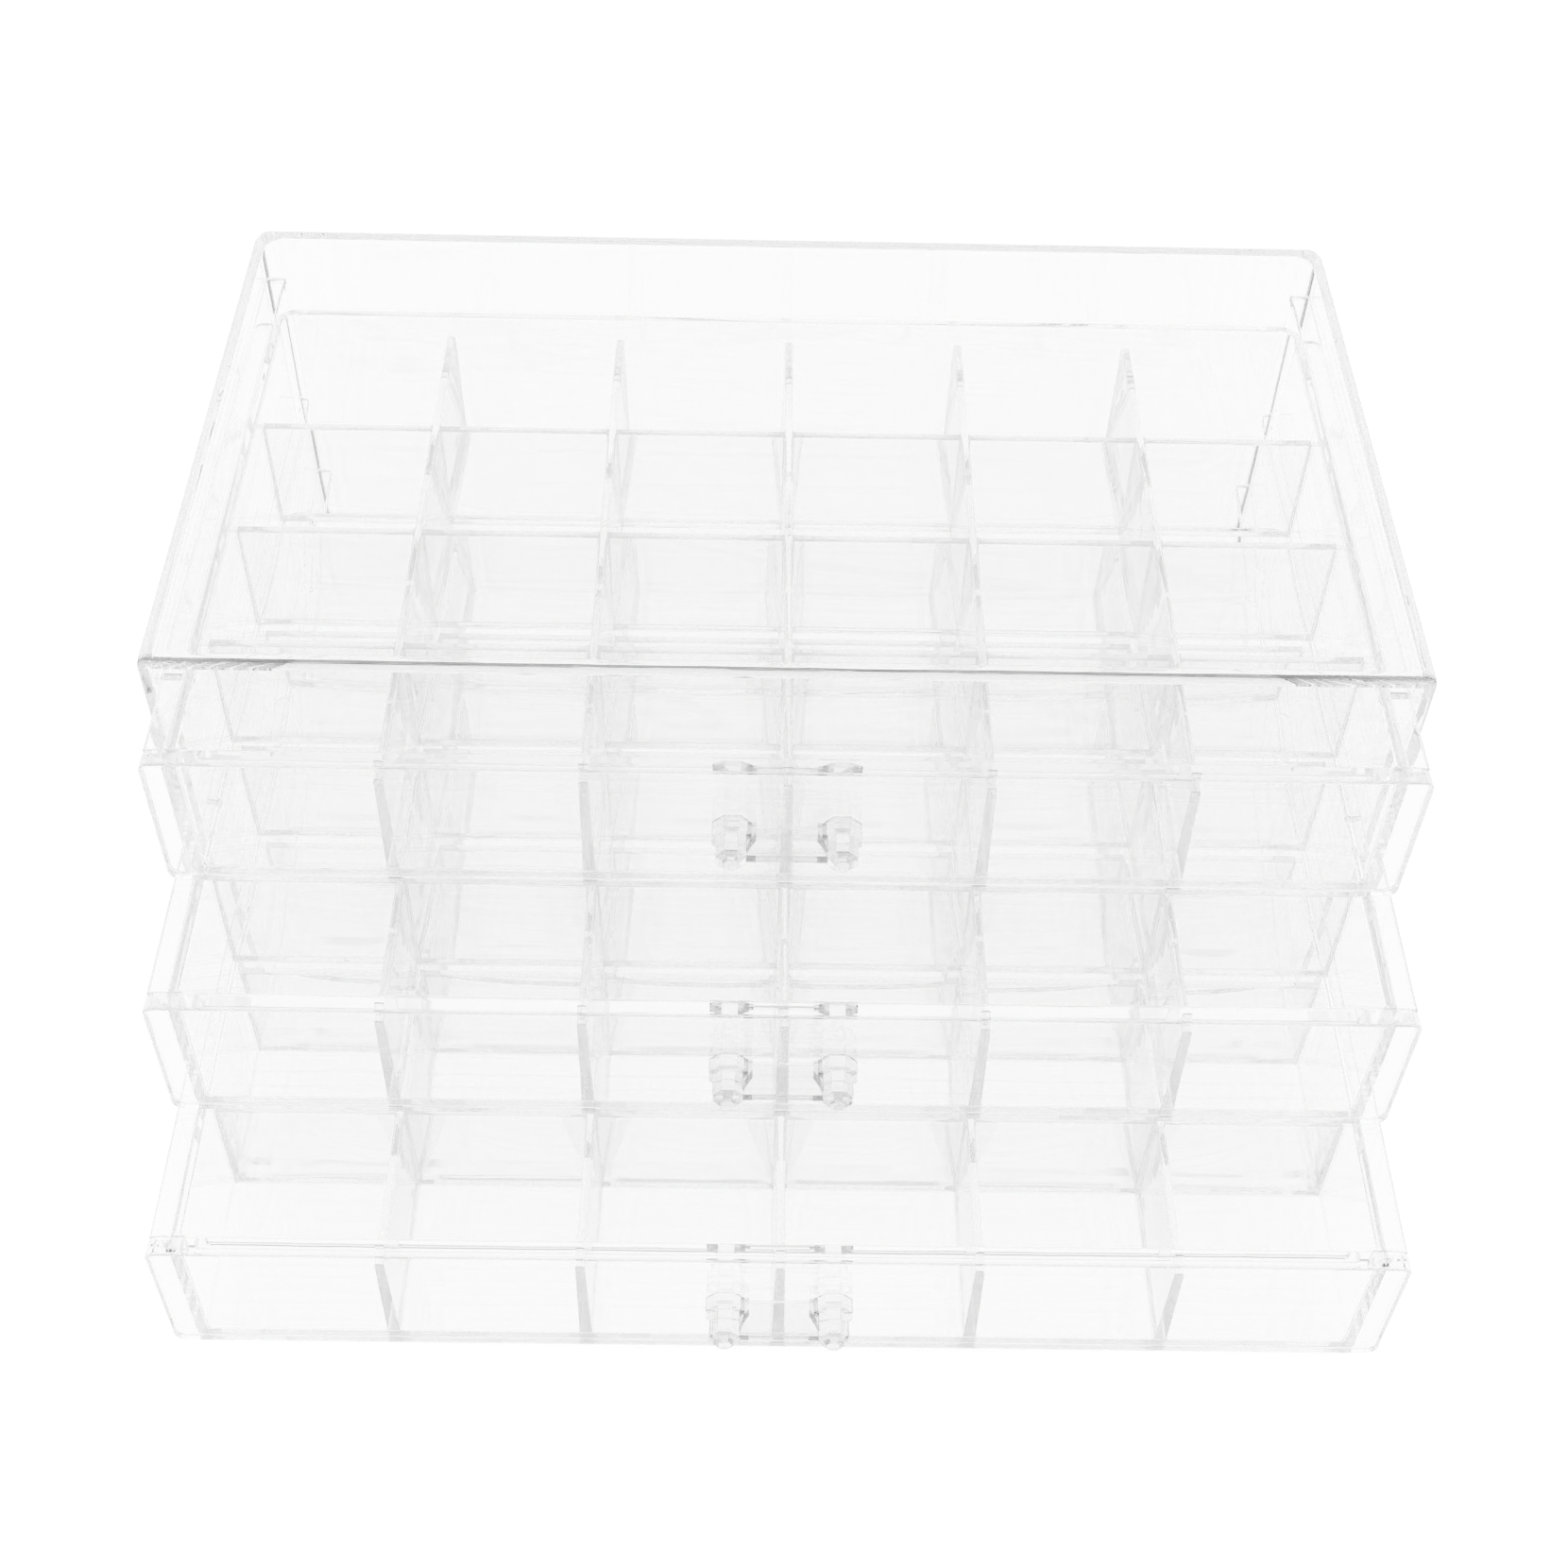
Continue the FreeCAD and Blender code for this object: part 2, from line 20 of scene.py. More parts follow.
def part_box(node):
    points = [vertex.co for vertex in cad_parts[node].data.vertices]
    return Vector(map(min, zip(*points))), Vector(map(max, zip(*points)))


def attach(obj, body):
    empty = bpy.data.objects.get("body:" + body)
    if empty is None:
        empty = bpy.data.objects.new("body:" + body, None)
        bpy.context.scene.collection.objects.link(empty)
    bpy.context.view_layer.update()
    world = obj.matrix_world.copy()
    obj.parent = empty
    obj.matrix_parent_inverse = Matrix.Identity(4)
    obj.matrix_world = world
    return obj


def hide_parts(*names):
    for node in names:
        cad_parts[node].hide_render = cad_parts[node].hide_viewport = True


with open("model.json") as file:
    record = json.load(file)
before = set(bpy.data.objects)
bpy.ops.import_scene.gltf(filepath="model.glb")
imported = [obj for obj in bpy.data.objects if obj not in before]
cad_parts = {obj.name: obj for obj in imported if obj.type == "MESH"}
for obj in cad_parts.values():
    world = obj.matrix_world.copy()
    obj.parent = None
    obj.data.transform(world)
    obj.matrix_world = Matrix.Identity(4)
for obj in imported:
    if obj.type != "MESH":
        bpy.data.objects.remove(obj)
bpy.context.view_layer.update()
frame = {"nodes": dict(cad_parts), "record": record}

LOG = logging.getLogger("organizer")
Array = np.ndarray
Colour = tuple[float, float, float, float]

MM = 0.001
MERGE = 1e-7  # points nearer than this are one point
LEAST_LENGTH, LEAST_ANGLE = 1e-12, 1e-6  # nothing smaller is divided by
ARC_STEPS = 8  # straight runs in a rounded corner
SOFT_STEPS = 2  # straight runs in a blunt corner that is only softened
SHARP_ANGLE = math.radians(28)
LARGEST_FACE = 100  # weight at which the largest face round a point sets its normal
EIGHTH_TURN = math.pi / 4
BOUNCES = 128  # light runs far inside thin clear plates before it leaves through an edge
COLOUR_A, COLOUR_B, COLOUR_RESULT = 6, 7, 2  # a Mix node's colour sockets, by number


class Plastic(float, Enum):
    """How strongly a clear plastic bends light."""

    ACRYLIC = 1.49
    STYRENE = 1.59


class Root(float, Enum):
    """How far a piece reaches into the one it is moulded with.

    Neighbours have different depths, so that no two faces buried in the same place coincide.
    """

    CASE = 0.30 * MM
    TRAY = 0.38 * MM
    LONG = 0.10 * MM
    CROSS = 0.07 * MM
    POST = 0.30 * MM
    WEB = 0.22 * MM
    FLARE = 0.14 * MM


# ------------------------------------------------------------------ shader maths
class Link:
    """A node's output socket that takes part in Python arithmetic."""

    def __init__(self, shader: "Shader", socket: bpy.types.NodeSocket | None) -> None:
        """Keeps the shader that owns the socket.

        Args:
            shader: the node tree under construction.
            socket: the output socket to wrap, or None for a closing node, which has none.
        """
        self.shader = shader
        self.socket = socket

    def _math(self, operation: str, first: "Link | float", second: "Link | float") -> "Link":
        """Adds one Math node for first and second."""
        return self.shader.node("ShaderNodeMath", {"operation": operation}, {0: first, 1: second})

    def __add__(self, other: "Link | float") -> "Link":
        """self + other."""
        return self._math("ADD", self, other)

    __radd__ = __add__

    def __mul__(self, other: "Link | float") -> "Link":
        """self * other."""
        return self._math("MULTIPLY", self, other)

    __rmul__ = __mul__

    def above(self, other: "Link | float") -> "Link":
        """1 where self is more than other, else 0."""
        return self._math("GREATER_THAN", self, other)


class Shader:
    """A node tree that is filled through one method."""

    def __init__(self, tree: bpy.types.NodeTree) -> None:
        """Empties the tree.

        Args:
            tree: node tree of a material or a world.
        """
        self.tree = tree
        tree.nodes.clear()

    def node(self, kind: str, settings: dict | None = None, inputs: dict | None = None,
             output: str | int = 0) -> Link:
        """Adds a node of any type.

        Args:
            kind: the node's type name.
            settings: attributes set before the inputs; "stops" fills a colour ramp.
            inputs: values or links by socket name or number.
            output: the output socket that is wrapped and returned.

        Returns:
            The chosen output as a Link.
        """
        made = self.tree.nodes.new(kind)
        for name, value in (settings or {}).items():
            if name == "stops":
                ramp = made.color_ramp
                while len(ramp.elements) < len(value):
                    ramp.elements.new(1.0)
                for element, (place, colour) in zip(ramp.elements, value):
                    element.position = place
                    element.color = colour
            else:
                setattr(made, name, value)
        for name, value in (inputs or {}).items():
            if isinstance(value, Link):
                self.tree.links.new(value.socket, made.inputs[name])
            else:
                made.inputs[name].default_value = value
        return Link(self, made.outputs[output] if made.outputs else None)

    def mix_shaders(self, factor: Link | float, first: Link, second: Link) -> Link:
        """Mixes two shaders: all first at a factor of 0, all second at 1."""
        return self.node("ShaderNodeMixShader", {}, {0: factor, 1: first, 2: second})

    def mix_colours(self, factor: Link, first: Link, second: Colour) -> Link:
        """Mixes a colour with a plain one: all first at a factor of 0, all second at 1."""
        return self.node("ShaderNodeMix", {"data_type": "RGBA"}, {
            "Factor": factor, COLOUR_A: first, COLOUR_B: second}, output=COLOUR_RESULT)


def grey(level: float) -> Colour:
    """An opaque grey of this level."""
    return (level, level, level, 1.0)


# ------------------------------------------------------------------ finishes
@dataclass(frozen=True)
class ClearPlastic:
    """Polished clear moulding: faint flow waves, a breath of haze, light shines through it."""

    name: str
    clarity: float = 0.997  # share of the light that each surface lets on
    plastic: Plastic = Plastic.ACRYLIC
    haze: float = 0.012
    wave_scale: float = 55.0
    wave_detail: float = 1.5
    wave_height: float = 0.04 * MM
    shade: float = 0.96  # share of a lamp's light that each surface lets on to a shadow

    def material(self) -> bpy.types.Material:
        """Builds the material.

        Returns:
            The finished material.
        """
        made = bpy.data.materials.new(self.name)
        made.use_nodes = True
        shader = Shader(made.node_tree)
        place = shader.node("ShaderNodeTexCoord", output="Object")
        cloud = shader.node("ShaderNodeTexNoise", {"noise_dimensions": "3D"},
                            {"Vector": place, "Scale": self.wave_scale,
                             "Detail": self.wave_detail})
        wave = shader.node("ShaderNodeBump", {},
                           {"Height": cloud, "Distance": self.wave_height, "Strength": 1.0})
        body = shader.node("ShaderNodeBsdfGlass", {}, {
            "Color": grey(self.clarity), "Roughness": cloud * self.haze,
            "IOR": self.plastic.value, "Normal": wave})
        lamp = shader.node("ShaderNodeBsdfTransparent", {}, {"Color": grey(self.shade)})
        shadow = shader.node("ShaderNodeLightPath", output="Is Shadow Ray")
        surface = shader.mix_shaders(shadow, body, lamp)
        shader.node("ShaderNodeOutputMaterial", {}, {"Surface": surface})
        return made


# ------------------------------------------------------------------ surfaces
def rounded(corners: Array, radii: Array, steps: int = ARC_STEPS) -> Array:
    """Rounds the corners of many outlines at once.

    A corner's arc is a rational quadratic curve: it starts and ends one tangent length, the
    radius over the tangent of half the corner's angle, from the corner, and the corner itself
    pulls it with a weight of the sine of that half angle, which makes it a circle's arc.

    Args:
        corners: (sections, corners, 2) corner points.
        radii: (sections, corners) radii, 0 for a sharp corner.
        steps: straight runs in each arc.

    Returns:
        (sections, corners * (steps + 1), 2) outline points.
    """
    before = np.roll(corners, 1, axis=1) - corners
    after = np.roll(corners, -1, axis=1) - corners
    before_length = np.maximum(np.linalg.norm(before, axis=2, keepdims=True), LEAST_LENGTH)
    after_length = np.maximum(np.linalg.norm(after, axis=2, keepdims=True), LEAST_LENGTH)
    back, on = before / before_length, after / after_length
    half = 0.5 * np.arccos(np.clip((back * on).sum(2), -1.0, 1.0))[..., None]
    half = np.maximum(half, LEAST_ANGLE)
    reach = np.minimum(radii[..., None] / np.tan(half), np.minimum(before_length, after_length))
    weight = np.sin(half)[..., None]
    t = np.linspace(0.0, 1.0, steps + 1)[None, None, :, None]
    start = (corners + back * reach)[:, :, None, :]
    end = (corners + on * reach)[:, :, None, :]
    middle = corners[:, :, None, :]
    share = (1 - t) ** 2 + 2 * weight * t * (1 - t) + t ** 2
    arcs = ((1 - t) ** 2 * start + 2 * weight * t * (1 - t) * middle + t ** 2 * end) / share
    return arcs.reshape(len(corners), -1, 2)


def quarter(radius: float, steps: int = ARC_STEPS) -> tuple[Array, Array]:
    """A quarter round, as depth in from the face and inset from the side.

    Both follow a circle: depth is radius * (1 - cos a), inset is radius * (1 - sin a), for a
    from 0 to a right angle.

    Args:
        radius: the rounding's radius.
        steps: straight runs.

    Returns:
        Depths and insets, from the face to the side.
    """
    angle = np.linspace(0.0, math.pi / 2, steps + 1)
    return radius * (1 - np.cos(angle)), radius * (1 - np.sin(angle))


def flare(depth: Array, radius: float) -> Array:
    """Extra half thickness of a hollow fillet at a depth from the face it stands on."""
    # a quarter circle: the radius, less the root of its square less the square of what is left
    inside = np.clip(radius - np.maximum(depth, 0.0), 0.0, radius)
    return radius - np.sqrt(radius ** 2 - inside ** 2)


class Axis(Enum):
    """Direction a loft runs in, with the two directions of its outlines."""

    X = (0, 1, 2)
    Y = (1, 0, 2)
    Z = (2, 0, 1)


@dataclass
class Shells:
    """Closed shells that together make one piece."""

    points: list[Array]
    faces: list[list[int]]

    @classmethod
    def empty(cls) -> "Shells":
        """A piece with nothing in it yet."""
        return cls([], [])

    def count(self) -> int:
        """How many points there are so far."""
        return sum(len(block) for block in self.points)

    def loft(self, outlines: Array, places: Array, axis: Axis) -> "Shells":
        """Adds a closed loft: outline i lies at places[i] along the axis, with flat ends.

        Args:
            outlines: (sections, points, 2).
            places: (sections,) positions along the axis.
            axis: the loft's direction.

        Returns:
            The piece itself.
        """
        sections, around = outlines.shape[:2]
        along, across, up = axis.value
        block = np.empty((sections, around, 3))
        block[..., along] = places[:, None]
        block[..., across] = outlines[..., 0]
        block[..., up] = outlines[..., 1]
        first = self.count()
        self.points.append(block.reshape(-1, 3))
        rows, columns = np.meshgrid(np.arange(sections - 1), np.arange(around), indexing="ij")
        here = first + rows * around + columns
        beside = first + rows * around + (columns + 1) % around
        sides = np.stack([here, beside, beside + around, here + around], axis=-1)
        self.faces += sides.reshape(-1, 4).tolist()
        self.faces.append(list(range(first, first + around)))
        last = first + (sections - 1) * around
        self.faces.append(list(range(last, last + around))[::-1])
        return self

    def piece(self, name: str, material: bpy.types.Material,
              true_flats: bool = True) -> bpy.types.Object:
        """Turns the shells into an object with outward faces.

        Args:
            name: the object's name.
            material: its finish.
            true_flats: shade flat faces as polished ones. A thin moulded wall, whose faces sink
                a little between their rounded edges, is shaded as slightly bowed instead.

        Returns:
            The object, at the origin.
        """
        mesh = bpy.data.meshes.new(name)
        mesh.from_pydata(np.concatenate(self.points).tolist(), [], self.faces)
        work = bmesh.new()
        work.from_mesh(mesh)
        bmesh.ops.remove_doubles(work, verts=work.verts, dist=MERGE)
        bmesh.ops.dissolve_degenerate(work, edges=work.edges, dist=MERGE)
        bmesh.ops.recalc_face_normals(work, faces=work.faces)
        work.to_mesh(mesh)
        work.free()
        mesh.shade_smooth()
        mesh.set_sharp_from_angle(angle=SHARP_ANGLE)
        mesh.materials.append(material)
        made = bpy.data.objects.new(name, mesh)
        bpy.context.scene.collection.objects.link(made)
        if true_flats:
            flats = made.modifiers.new("TrueFlats", "WEIGHTED_NORMAL")
            flats.keep_sharp = True
            flats.weight = LARGEST_FACE
        return made


def mirrored(half: Array) -> Array:
    """Closes half outlines, drawn from the middle plane round and back, with their mirror."""
    other = half[:, ::-1] * np.array([-1.0, 1.0])
    return np.concatenate([half, other], axis=1)


def box_of(node: str) -> tuple[Vector, Vector]:
    """Lowest and highest corner of a node at rest."""
    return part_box(node)


# ------------------------------------------------------------------ thin-walled trough
@dataclass
class Trough:
    """A moulded trough, open above and at its front: floor, two sides and a back in one.

    Its outline at a depth along Y is a U. Towards the back the U narrows along the rounded
    upright corners, its hollow ends at the back wall, and every rim is rounded. A flange stands
    out from both rims and tapers off before the back. A trough that is rooted in a front panel
    has a fillet where it leaves the panel's inner face.
    """

    half_outer: float
    half_inner: float
    front: float
    inner_back: float
    outer_back: float
    underside: float
    floor: float
    rim: float
    outer_corner: float
    inner_corner: float
    foot_radius: float
    inner_radius: float
    rim_radius: float
    front_radius: float = 0.0
    front_rim_radius: float = 0.0
    flange: float = 0.0
    flange_thickness: float = 1.8 * MM
    flange_tail: float = 2.0 * MM
    panel_face: float | None = None
    inner_stations: int = 9
    outer_stations: int = 11
    least_step: float = 0.02 * MM
    station_digits: int = 8

    def stations(self) -> Array:
        """Depths at which the outline is drawn: close together where something curves.

        Returns:
            Sorted depths; the back wall's inner face is there twice.
        """
        def spread(from_y: float, to_y: float, count: int) -> Array:
            """Depths that crowd together at both ends, by half a wave of a cosine."""
            share = 0.5 - 0.5 * np.cos(np.linspace(0, math.pi, count))
            return from_y + (to_y - from_y) * share

        rows = [spread(self.inner_back - self.inner_corner, self.inner_back,
                       self.inner_stations),
                spread(self.outer_back - self.outer_corner, self.outer_back,
                       self.outer_stations),
                self.inner_back - quarter(self.inner_radius)[0],
                self.inner_back + quarter(self.rim_radius)[0],
                self.outer_back - quarter(self.foot_radius)[0],
                self.outer_back - quarter(self.rim_radius)[0],
                np.array([self.front])]
        if self.panel_face is not None:
            rows.append(self.panel_face + quarter(self.inner_radius)[0])
        if self.front_radius:
            rows.append(self.front + quarter(self.front_radius)[0])
        if self.front_rim_radius:
            rows.append(self.front + quarter(self.front_rim_radius)[0])
        if self.flange:
            end = self.outer_back - self.outer_corner
            rows.append(end - quarter(self.flange_tail)[0])
            rows.append(np.array([end]))
        depths = np.unique(np.round(np.concatenate(rows), self.station_digits))
        depths = depths[np.concatenate([[True], np.diff(depths) > self.least_step])]
        nearest = np.argmin(np.abs(depths - self.inner_back))
        depths[nearest] = self.inner_back
        return np.insert(depths, nearest, self.inner_back)

    def outlines(self) -> tuple[Array, Array]:
        """The U at each station.

        Half of it runs from the middle of the underside out to the side, up to the rim with its
        flange, over it and down into the hollow, and back to the middle of the floor. Near an
        end each line draws in by the flare of its own radius at that depth.

        Returns:
            (stations, points, 2) outlines in X and Z, and the stations' depths.
        """
        y = self.stations()
        hollow = np.ones(len(y), bool)
        hollow[np.argmax(y == self.inner_back) + 1:] = False
        to_back = np.maximum(self.outer_back - y, 0.0)
        to_front = np.maximum(y - self.front, 0.0)
        to_inner = np.maximum(self.inner_back - y, 0.0)

        outer = self.half_outer - flare(to_back, self.outer_corner)
        inner = np.minimum(self.half_inner - flare(to_inner, self.inner_corner), outer)
        low = self.underside + flare(to_back, self.foot_radius)
        rim = self.rim - flare(to_back, self.rim_radius)
        floor = self.floor + flare(to_inner, self.inner_radius)
        if self.panel_face is not None:
            from_panel = y - self.panel_face
            floor = floor + flare(from_panel, self.inner_radius)
            inner = inner - flare(from_panel, self.inner_radius)
        if self.front_radius:
            outer = outer - flare(to_front, self.front_radius)
        if self.front_rim_radius:
            low = low + flare(to_front, self.front_rim_radius)
        beyond = np.maximum(y - self.inner_back, 0.0)
        floor = np.where(hollow, floor, np.minimum(self.rim - flare(beyond, self.rim_radius), rim))
        ledge = np.zeros(len(y))
        if self.flange:
            end = self.outer_back - self.outer_corner
            left = np.clip(end - y, 0.0, self.flange_tail)
            ledge = np.where(y < end, self.flange - self.flange_tail
                             + np.sqrt(self.flange_tail ** 2 - (self.flange_tail - left) ** 2), 0.0)
        under = rim - self.flange_thickness
        zero = np.zeros(len(y))
        corners = np.stack([
            np.stack([zero, low], -1),
            np.stack([outer, low], -1),
            np.stack([outer, under], -1),
            np.stack([outer + ledge, under], -1),
            np.stack([outer + ledge, rim], -1),
            np.stack([inner, rim], -1),
            np.stack([inner, floor], -1),
            np.stack([zero, floor], -1)], axis=1)
        small = np.full(len(y), self.rim_radius)
        tucked = np.where(ledge > self.inner_radius, self.inner_radius, 0.0)
        lip = np.where(ledge > 2 * self.rim_radius, self.rim_radius, 0.0)
        open_rim = np.where(hollow, self.rim_radius, 0.0)
        inner_fillet = np.where(hollow, self.inner_radius, 0.0)
        radii = np.stack([zero, np.full(len(y), self.foot_radius), tucked, lip,
                          small, open_rim, inner_fillet, zero], axis=1)
        half = rounded(corners, radii)
        return mirrored(half), y

    def add_to(self, shells: Shells, turned_over: bool = False) -> Shells:
        """Adds the trough to a piece.

        Args:
            shells: the piece under construction.
            turned_over: every height changes its sign, so that the trough opens below.

        Returns:
            The piece.
        """
        outlines, y = self.outlines()
        if turned_over:
            outlines = outlines * np.array([1.0, -1.0])
        return shells.loft(outlines, y, Axis.Y)


def slab(low: Vector, high: Vector, corner: tuple[float, float, float, float], edge: float,
         axis: Axis) -> tuple[Array, Array]:
    """Outlines of a plate with rounded corners and rounded edges at both ends of an axis.

    Near an end the four sides draw in as a quarter round does, and the corners' radii shrink by
    as much.

    Args:
        low: lowest corner of its box.
        high: highest corner.
        corner: radii of the outline's corners, from the lowest one round by the first direction.
        edge: radius between the outline and the two end faces.
        axis: the direction from one end face to the other.

    Returns:
        Outlines and their places along the axis.
    """
    along, across, up = axis.value
    depth, inset = quarter(edge)
    places = np.concatenate([low[along] + depth, high[along] - depth[::-1]])
    inward = np.concatenate([inset, inset[::-1]])
    left, right = low[across] + inward, high[across] - inward
    bottom, top = low[up] + inward, high[up] - inward
    corners = np.stack([np.stack([left, bottom], -1), np.stack([right, bottom], -1),
                        np.stack([right, top], -1), np.stack([left, top], -1)], axis=1)
    radii = np.maximum(np.array(corner)[None, :] - inward[:, None], 0.0)
    return rounded(corners, radii), places


# ------------------------------------------------------------------ case
@dataclass
class Case:
    """Outer box: shell, floor plate and six rails, one moulding that is open at the front."""

    finish: bpy.types.Material
    body: str = "case"
    top_thickness: float = 2.5 * MM
    outer_corner: float = 4.0 * MM
    inner_corner: float = 5.0 * MM
    edge_radius: float = 2.0 * MM
    lip_radius: float = 0.6 * MM
    inner_fillet: float = 0.6 * MM
    small_radius: float = 0.35 * MM
    rail_radius: float = 0.4 * MM
    base_edge: float = 0.45 * MM

    def shell(self) -> bpy.types.Object:
        """Top, sides and back: a trough turned upside down.

        Returns:
            The shell.
        """
        low, high = box_of("case_shell")
        _, base_high = box_of("case_base")
        trough = Trough(
            half_outer=high.x, half_inner=base_high.x, front=low.y, inner_back=base_high.y,
            outer_back=high.y, underside=-high.z, floor=-high.z + self.top_thickness, rim=-low.z,
            outer_corner=self.outer_corner, inner_corner=self.inner_corner,
            foot_radius=self.edge_radius, inner_radius=self.inner_fillet,
            rim_radius=self.small_radius, front_radius=self.lip_radius,
            front_rim_radius=self.edge_radius)
        return trough.add_to(Shells.empty(), turned_over=True).piece("box_shell", self.finish)

    def base(self) -> bpy.types.Object:
        """Floor plate, reaching a little into the walls it is moulded with.

        Returns:
            The plate.
        """
        low, high = box_of("case_base")
        reach = Vector((Root.CASE, 0.0, 0.0))
        front, rear = self.lip_radius, self.inner_corner
        outlines, places = slab(low - reach, high + reach + Vector((0.0, Root.CASE, 0.0)),
                                (front, front, rear, rear), self.base_edge, Axis.Z)
        return Shells.empty().loft(outlines, places, Axis.Z).piece("box_floor", self.finish)

    def rail(self, node: str) -> bpy.types.Object:
        """One ledge on a side wall, rounded all round.

        Args:
            node: the rail's node.

        Returns:
            The ledge.
        """
        low, high = (corner.copy() for corner in box_of(node))
        if high.x > 0:
            high.x += Root.CASE
        else:
            low.x -= Root.CASE
        outlines, places = slab(low, high, (self.rail_radius,) * 4, self.rail_radius, Axis.Y)
        return Shells.empty().loft(outlines, places, Axis.Y).piece(f"{node}_ledge", self.finish)

    def build(self) -> None:
        """Builds the case's pieces and ties them to their nodes."""
        settle(self.shell(), self.body, "case_shell")
        settle(self.base(), self.body, "case_base")
        for node in frame["record"]["behaviour"]["bodies"][self.body]:
            if node.startswith("rail_"):
                settle(self.rail(node), self.body, node)


# ------------------------------------------------------------------ drawer
@dataclass
class Drawer:
    """One drawer: tray, front panel, pull and a grid of dividers, all one clear moulding."""

    name: str
    finish: bpy.types.Material
    # the pull's finish is the same clear plastic made to let on less light: painted shade for the
    # dark rings at the posts' tips
    pull_finish_painted_shade: bpy.types.Material
    divider_finish: bpy.types.Material
    panel_corner: float = 2.5 * MM
    panel_edge: float = 0.6 * MM
    tray_corner: float = 5.0 * MM
    foot_radius: float = 1.0 * MM
    fillet: float = 0.6 * MM
    divider_fillet: float = 0.3 * MM
    small_radius: float = 0.3 * MM
    divider_top: float = 1.7 * MM
    divider_top_radius: float = 0.48 * MM
    collar_across: float = 7.2 * MM
    collar_length: float = 3.0 * MM
    shoulder: float = 0.4 * MM
    post_across: float = 5.6 * MM
    tip_chamfer: float = 1.4 * MM
    web_setback: float = 0.2 * MM
    web_thickness: float = 1.8 * MM
    web_edge: float = 0.05 * MM
    flare_height: float = 3.4 * MM
    flare_foot: float = 4.4 * MM
    flare_start: float = 2.2 * MM
    flare_end: float = 6.2 * MM
    octagon_radius: float = 0.25 * MM
    # change of a post's width along the softened slope at its tip, in octagon radii
    slope_edge_loss: float = 0.4
    slope_loss: float = 2.4
    tip_gain: float = 1.2
    tip_edge_loss: float = 0.4

    @property
    def body(self) -> str:
        """Name of the body that the drawer's pieces ride on."""
        return f"drawer_{self.name}"

    def node(self, part: str) -> str:
        """Name of one of the drawer's nodes."""
        return f"{self.body}_{part}"

    def cells(self) -> tuple[Vector, Vector]:
        """Box of the divided space: inside the walls, from the floor to the dividers' tops.

        Returns:
            Its lowest and highest corner.
        """
        long_low, long_high = box_of(self.node("divider_1"))
        cross_low, cross_high = box_of(self.node("cross_1"))
        return (Vector((cross_low.x, long_low.y, long_low.z)),
                Vector((cross_high.x, long_high.y, long_high.z)))

    def tray(self) -> bpy.types.Object:
        """Floor, sides with their sliding flange and back wall, rooted in the panel.

        Returns:
            The tray.
        """
        low, high = box_of(self.node("tray"))
        cells_low, cells_high = self.cells()
        wall = high.y - cells_high.y
        half_outer = cells_high.x + wall
        trough = Trough(
            half_outer=half_outer, half_inner=cells_high.x, front=low.y - Root.TRAY,
            inner_back=cells_high.y, outer_back=high.y, underside=low.z, floor=cells_low.z,
            rim=high.z, outer_corner=self.tray_corner, inner_corner=self.tray_corner - wall,
            foot_radius=self.foot_radius, inner_radius=self.fillet, rim_radius=self.small_radius,
            flange=high.x - half_outer, panel_face=low.y)
        return trough.add_to(Shells.empty()).piece(f"{self.body}_tray_moulding", self.finish,
                                                   true_flats=False)

    def front(self) -> bpy.types.Object:
        """Thick front panel with rounded corners and edges.

        Returns:
            The panel.
        """
        low, high = box_of(self.node("front"))
        outlines, places = slab(low, high, (self.panel_corner,) * 4, self.panel_edge, Axis.Y)
        return Shells.empty().loft(outlines, places, Axis.Y).piece(
            f"{self.body}_panel_moulding", self.finish)

    def octagon(self, across: Array, centre: tuple[float, float]) -> Array:
        """Eight-sided outlines with a flat on top.

        Corners stand at half the width over flats, divided by the cosine of half an eighth of a
        turn. The first is half an eighth of a turn round, and the next ones an eighth each.

        Args:
            across: (sections,) widths over flats.
            centre: X and Z of the axis.

        Returns:
            (sections, points, 2) outlines with softened corners.
        """
        angle = EIGHTH_TURN / 2 + np.arange(8) * EIGHTH_TURN
        reach = across[:, None] / 2 / math.cos(EIGHTH_TURN / 2)
        corners = np.stack([centre[0] + reach * np.cos(angle), centre[1] + reach * np.sin(angle)],
                           axis=-1)
        return rounded(corners, np.full(corners.shape[:2], self.octagon_radius), SOFT_STEPS)

    def handle(self) -> bpy.types.Object:
        """Pull: two collared eight-sided posts, the web between them and its hollow flares.

        A post steps in at its shoulder and slopes in at its tip. The slope's two edges are
        softened over one octagon radius on either side.

        Returns:
            The pull.
        """
        low, high = box_of(self.node("handle"))
        face, end = high.y, low.y
        level = (low.z + high.z) / 2
        spacing = high.x - low.x - self.collar_across
        shells = Shells.empty()
        shoulder = face - self.collar_length
        slope = end + self.tip_chamfer
        soft = self.octagon_radius
        places = np.array([face + Root.POST, shoulder + self.shoulder, shoulder,
                           slope + soft, slope, slope - soft, end + soft, end])
        tip = self.post_across - 2 * self.tip_chamfer
        across = np.array([self.collar_across, self.collar_across, self.post_across,
                           self.post_across, self.post_across - self.slope_edge_loss * soft,
                           self.post_across - self.slope_loss * soft,
                           tip + self.tip_gain * soft, tip - self.tip_edge_loss * soft])
        for side in (-1.0, 1.0):
            centre = (side * spacing / 2, level)
            shells.loft(self.octagon(across, centre), places, Axis.Y)
            self.add_flare(shells, side, spacing / 2, face, level)
        inner_flat = spacing / 2 - self.post_across / 2
        web_low = Vector((-inner_flat - Root.WEB, slope + self.web_setback,
                          level - self.web_thickness / 2))
        web_high = Vector((inner_flat + Root.WEB, face + Root.WEB,
                           level + self.web_thickness / 2))
        outlines, spots = slab(web_low, web_high, (self.small_radius,) * 4, self.web_edge, Axis.X)
        shells.loft(outlines, spots, Axis.X)
        return shells.piece(f"{self.body}_pull", self.pull_finish_painted_shade)

